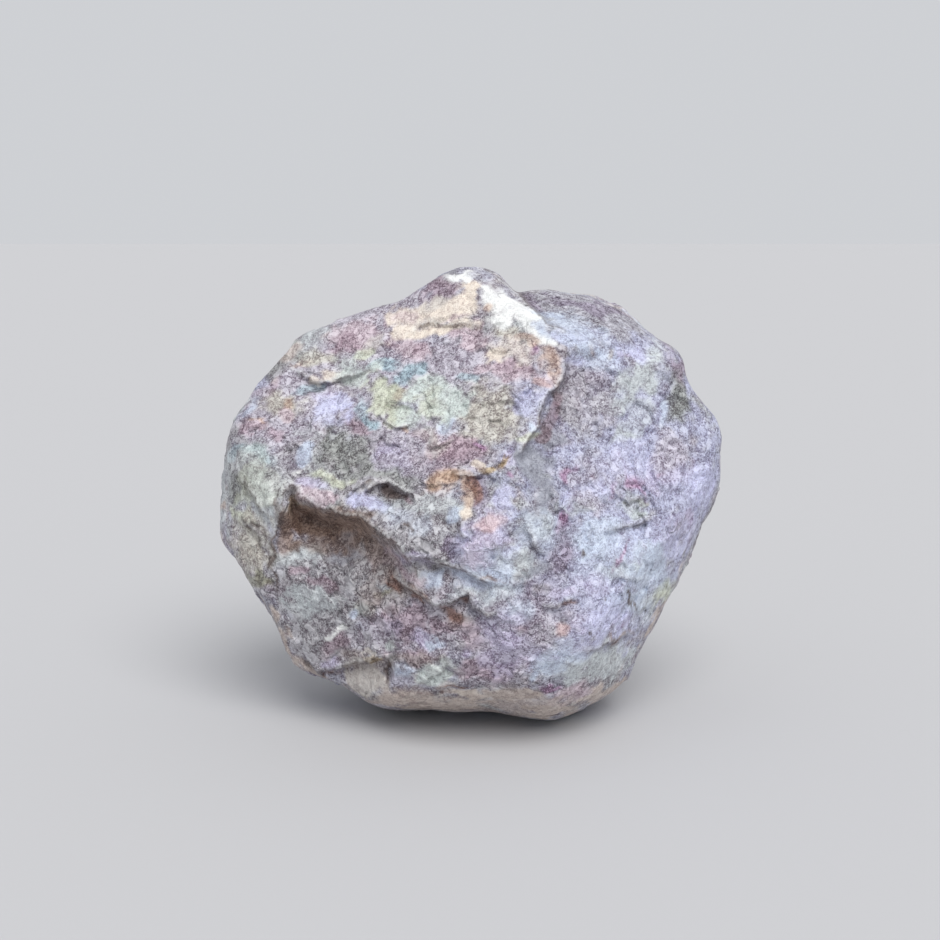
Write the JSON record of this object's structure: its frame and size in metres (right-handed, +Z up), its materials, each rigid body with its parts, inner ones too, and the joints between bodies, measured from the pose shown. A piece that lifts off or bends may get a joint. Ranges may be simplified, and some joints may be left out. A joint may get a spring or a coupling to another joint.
{
  "type": "rough eudialyte stone",
  "caption": "Rough, unpolished lump of mottled mauve and white eudialyte rock with broken flats, flaky ledges and a hollow in its face, standing on a flat break.",
  "frame": {"origin": "middle of the stone's extent in X and Y, on the flat face it rests on", "axes": "+Z up from the resting face, +X to the right of the broad face, the broad face with the hollow towards -Y"},
  "size_m": [0.08, 0.0612, 0.0699],
  "materials": {
    "stone": "rough"
  },
  "bodies": {
    "root": {"stone": "stone"}
  },
  "joints": []
}
